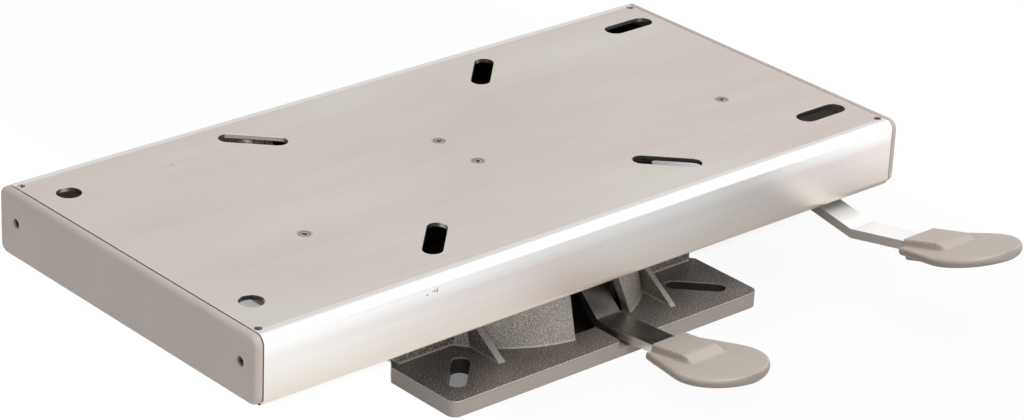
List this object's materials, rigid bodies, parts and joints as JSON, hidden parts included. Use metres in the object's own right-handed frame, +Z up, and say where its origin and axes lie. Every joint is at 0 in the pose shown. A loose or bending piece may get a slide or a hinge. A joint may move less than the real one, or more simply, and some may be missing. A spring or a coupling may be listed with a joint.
{
  "type": "swivel seat base",
  "caption": "Low seat base: a slotted sliding platform on a swivelling carriage over a cast floor foot, with two flat-bar levers that free the slide and the swivel.",
  "frame": {"origin": "on the swivel axis at the underside of the cast foot", "axes": "+X along the platform's length, +Y away from the levers, +Z up"},
  "size_m": [0.528, 0.4008, 0.1092],
  "materials": {
    "cast_foot": "sand cast, dark warm grey, fine metallic grit",
    "zinc_steel": "zinc plated, satin",
    "brushed_steel": "bare mill finish with faint long brush marks",
    "nylon": "moulded natural nylon",
    "friction_lining": "pressed brake lining, matt",
    "rubber": "moulded black rubber",
    "spring_steel": "oiled spring steel",
    "cap_plastic": "moulded, fine matt grain",
    "paddle_plastic": "moulded, smooth matt"
  },
  "bodies": {
    "foot": {"foot_casting": "cast_foot", "spindle": "zinc_steel", "spindle_washer": "zinc_steel", "spindle_nut": "zinc_steel", "thrust_ring": "nylon", "swivel_lever_pin": "zinc_steel", "pin_clip_left": "spring_steel", "pin_clip_right": "spring_steel"},
    "turntable": {"turntable_disc": "brushed_steel", "carriage_channel": "brushed_steel", "brake_strip": "friction_lining", "carriage_bolt_1": "zinc_steel", "carriage_bolt_2": "zinc_steel", "carriage_bolt_3": "zinc_steel", "carriage_bolt_4": "zinc_steel", "glide_front_left": "nylon", "glide_front_right": "nylon", "glide_back_left": "nylon", "glide_back_right": "nylon", "stop_buffer_left": "rubber", "stop_buffer_right": "rubber"},
    "platform": {"platform_cover": "brushed_steel", "end_cap_left": "cap_plastic", "end_cap_right": "cap_plastic", "cap_screw_front_left": "zinc_steel", "cap_screw_back_left": "zinc_steel", "cap_screw_front_right": "zinc_steel", "cap_screw_back_right": "zinc_steel", "corner_bracket_front_left": "zinc_steel", "corner_bracket_back_left": "zinc_steel", "corner_bracket_front_right": "zinc_steel", "corner_bracket_back_right": "zinc_steel", "shaft_bracket_left": "zinc_steel", "shaft_bracket_right": "zinc_steel", "cam_hanger": "zinc_steel", "shaft_rivet_left": "zinc_steel", "shaft_rivet_right": "zinc_steel", "hanger_rivet_back": "zinc_steel", "hanger_rivet_front": "zinc_steel"},
    "slide_lever": {"lock_shaft": "zinc_steel", "shaft_clip_left": "spring_steel", "shaft_clip_right": "spring_steel", "brake_cam": "zinc_steel", "slide_lever_arm": "zinc_steel", "slide_lever_paddle": "paddle_plastic", "slide_lever_spring": "spring_steel"},
    "swivel_lever": {"swivel_lever_arm": "zinc_steel", "swivel_lever_paddle": "paddle_plastic", "swivel_brake_pad": "friction_lining", "swivel_lever_spring": "spring_steel"}
  },
  "joints": [
    {"name": "swivel", "type": "hinge", "parent": "foot", "child": "turntable", "pos_m": [0, 0, 0.058], "axis": [0, 0, 1], "continuous": true},
    {"name": "platform_slide", "type": "slide", "parent": "turntable", "child": "platform", "axis": [1, 0, 0], "range_m": [-0.05, 0.11]},
    {"name": "slide_lever_lift", "type": "hinge", "parent": "platform", "child": "slide_lever", "pos_m": [0, -0.036, 0.0872], "axis": [-1, 0, 0], "range_deg": [0, 4.5], "stiffness_Nm_per_rad": 3, "springref_deg": -5.73},
    {"name": "swivel_lever_lift", "type": "hinge", "parent": "foot", "child": "swivel_lever", "pos_m": [0.0228, -0.056, 0.026], "axis": [-1, 0, 0], "range_deg": [0, 8], "stiffness_Nm_per_rad": 3, "springref_deg": -5.73}
  ]
}
